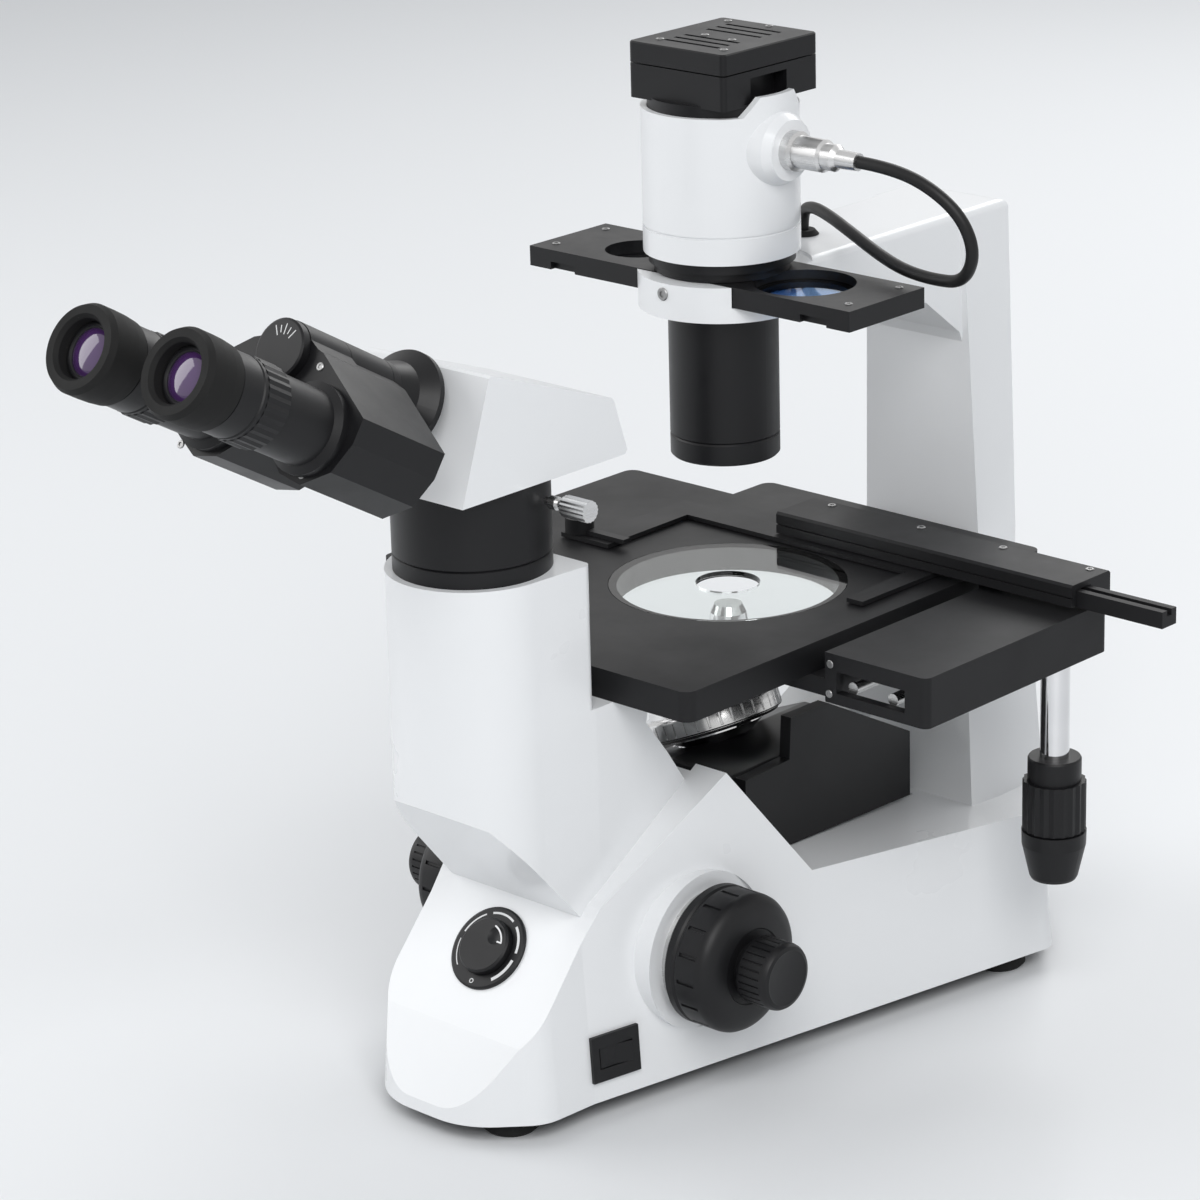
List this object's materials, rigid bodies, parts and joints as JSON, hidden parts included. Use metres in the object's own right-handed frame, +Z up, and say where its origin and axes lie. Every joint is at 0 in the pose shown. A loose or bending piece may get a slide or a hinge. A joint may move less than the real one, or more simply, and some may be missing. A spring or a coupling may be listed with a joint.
{
  "type": "inverted microscope",
  "caption": "Inverted laboratory microscope with a white stand, black stage, binocular head and a lamp house on an overhead arm",
  "frame": {"origin": "On the table top, straight under the optical axis of lamp, condenser and objective.", "axes": "+Z up, +X to the right of the person who looks into the eyepieces, +Y from the user to the back."},
  "size_m": [0.3754, 0.5725, 0.488],
  "materials": {
    "white_enamel": "gloss",
    "black_steel": "matte",
    "black_rubber": "matte",
    "stage_black": "matte",
    "clear_glass": "polished",
    "ground_steel": "ground",
    "satin_steel": "satin",
    "bright_chrome": "polished",
    "knurled_steel": "knurled",
    "black_paint": "satin",
    "black_plastic": "matte",
    "lamp_ceramic": "satin",
    "lead_sheath": "satin",
    "blue_glass": "polished"
  },
  "bodies": {
    "stand": {"stand_body": "white_enamel", "base_plate": "black_steel", "rubber_feet": "black_rubber", "illumination_arm": "white_enamel", "lead_grommet": "black_rubber", "stage_plate": "stage_black", "glass_insert": "clear_glass", "auxiliary_stage": "stage_black", "stage_brackets": "stage_black", "guide_housing": "stage_black", "guide_rods": "ground_steel", "carriage_covers": "black_paint", "tension_collar": "satin_steel", "head_collar": "black_paint", "lamp_housing": "white_enamel", "lamp_base": "black_paint", "lamp_cap_lower": "black_paint", "lamp_cap_upper": "black_paint", "halogen_lamp": "lamp_ceramic", "lamp_connector": "satin_steel", "lamp_lead": "lead_sheath", "condenser_tube": "black_paint", "condenser_lens": "clear_glass", "dial_plate": "black_plastic", "switch_frame": "black_plastic", "mains_inlet": "black_plastic"},
    "focus_carriage": {"focusing_carriage": "black_paint", "nosepiece_dome": "bright_chrome"},
    "nosepiece": {"nosepiece_turret": "knurled_steel", "objective_4x": "bright_chrome", "objective_10x": "bright_chrome", "objective_20x": "bright_chrome"},
    "coarse_focus": {"coarse_knobs": "black_plastic", "coarse_shaft": "ground_steel"},
    "fine_focus": {"fine_knobs": "black_plastic"},
    "stage_y": {"y_carriage": "stage_black", "cross_guide": "stage_black"},
    "stage_x": {"cross_rail": "stage_black", "specimen_holder": "stage_black"},
    "clamp_finger": {"holder_clamp": "black_plastic"},
    "y_drive": {"drive_tube": "bright_chrome", "upper_drive_knob": "black_plastic"},
    "x_drive": {"lower_drive_knob": "black_plastic"},
    "head": {"head_housing": "white_enamel", "hinge_barrel": "black_paint"},
    "head_clamp": {"head_clamp_screw": "knurled_steel"},
    "right_ocular": {"prism_box_right": "black_paint", "eyepiece_tube_right": "black_paint", "eyepiece_right": "black_paint", "eyecup_right": "black_rubber"},
    "left_ocular": {"prism_box_left": "black_paint", "eyepiece_tube_left": "black_paint", "eyepiece_left": "black_paint", "eyecup_left": "black_rubber"},
    "right_dioptre": {"dioptre_ring_right": "black_plastic"},
    "left_dioptre": {"dioptre_ring_left": "black_plastic"},
    "slider": {"phase_slider": "black_paint", "blue_filter": "blue_glass"},
    "brightness": {"dial_knob": "black_plastic"},
    "power_rocker": {"rocker": "black_plastic"}
  },
  "joints": [
    {"name": "focus_slide", "type": "slide", "parent": "stand", "child": "focus_carriage", "axis": [0, 0, 1], "range_m": [-0.0045, 0.0045]},
    {"name": "nosepiece_turn", "type": "hinge", "parent": "focus_carriage", "child": "nosepiece", "pos_m": [-0.01854, 0, 0.15901], "axis": [-0.3746, 0, 0.9272], "continuous": true},
    {"name": "coarse_turn", "type": "hinge", "parent": "stand", "child": "coarse_focus", "pos_m": [0, -0.097, 0.0697], "axis": [1, 0, 0], "range_deg": [-43, 43]},
    {"name": "fine_turn", "type": "hinge", "parent": "coarse_focus", "child": "fine_focus", "pos_m": [0, -0.097, 0.0697], "axis": [1, 0, 0], "continuous": true},
    {"name": "stage_y_slide", "type": "slide", "parent": "stand", "child": "stage_y", "axis": [0, 1, 0], "range_m": [-0.068, 0.009]},
    {"name": "stage_x_slide", "type": "slide", "parent": "stage_y", "child": "stage_x", "axis": [1, 0, 0], "range_m": [-0.052, 0.066]},
    {"name": "clamp_turn", "type": "hinge", "parent": "stage_x", "child": "clamp_finger", "pos_m": [-0.105, 0.0055, 0.2185], "axis": [0, 0, 1], "range_deg": [-5, 70]},
    {"name": "y_knob_turn", "type": "hinge", "parent": "stage_y", "child": "y_drive", "pos_m": [0.1514, 0.067, 0.12], "axis": [0, 0, 1], "range_deg": [-785, 105]},
    {"name": "x_knob_turn", "type": "hinge", "parent": "stage_y", "child": "x_drive", "pos_m": [0.1514, 0.067, 0.09], "axis": [0, 0, 1], "range_deg": [-600, 760]},
    {"name": "head_turn", "type": "hinge", "parent": "stand", "child": "head", "pos_m": [0, -0.177, 0.317], "axis": [0, 0, 1], "range_deg": [-90, 90]},
    {"name": "head_clamp_turn", "type": "hinge", "parent": "stand", "child": "head_clamp", "pos_m": [0.0212, -0.163, 0.306], "axis": [1, 0, 0], "range_deg": [0, 360]},
    {"name": "right_ocular_fold", "type": "hinge", "parent": "head", "child": "right_ocular", "pos_m": [0, -0.2868, 0.3986], "axis": [0, 0.866, -0.5], "range_deg": [-15.5, 9]},
    {"name": "left_ocular_fold", "type": "hinge", "parent": "head", "child": "left_ocular", "pos_m": [0, -0.2868, 0.3986], "axis": [0, 0.866, -0.5], "range_deg": [-9, 15.5]},
    {"name": "right_dioptre_turn", "type": "hinge", "parent": "right_ocular", "child": "right_dioptre", "pos_m": [0.03035, -0.33931, 0.39366], "axis": [0, -0.866, 0.5], "range_deg": [-150, 150]},
    {"name": "left_dioptre_turn", "type": "hinge", "parent": "left_ocular", "child": "left_dioptre", "pos_m": [-0.03035, -0.33931, 0.39366], "axis": [0, -0.866, 0.5], "range_deg": [-150, 150]},
    {"name": "slider_shift", "type": "slide", "parent": "stand", "child": "slider", "axis": [1, 0, 0], "range_m": [-0.052, 0.054]},
    {"name": "brightness_turn", "type": "hinge", "parent": "stand", "child": "brightness", "pos_m": [0, -0.1755, 0.07821], "axis": [0, -0.7518, 0.6594], "range_deg": [-135, 135]},
    {"name": "rocker_tilt", "type": "hinge", "parent": "stand", "child": "power_rocker", "pos_m": [0.05692, -0.1515, 0.032], "axis": [-0.077, 0.0151, 0.9969], "range_deg": [0, 12]}
  ],
  "couplings": [
    {"joint": "coarse_turn", "follows": "focus_slide", "rad_per_m": 166.67},
    {"joint": "y_knob_turn", "follows": "stage_y_slide", "rad_per_m": 200},
    {"joint": "x_knob_turn", "follows": "stage_x_slide", "rad_per_m": 200},
    {"joint": "left_ocular_fold", "follows": "right_ocular_fold", "ratio": -1}
  ]
}
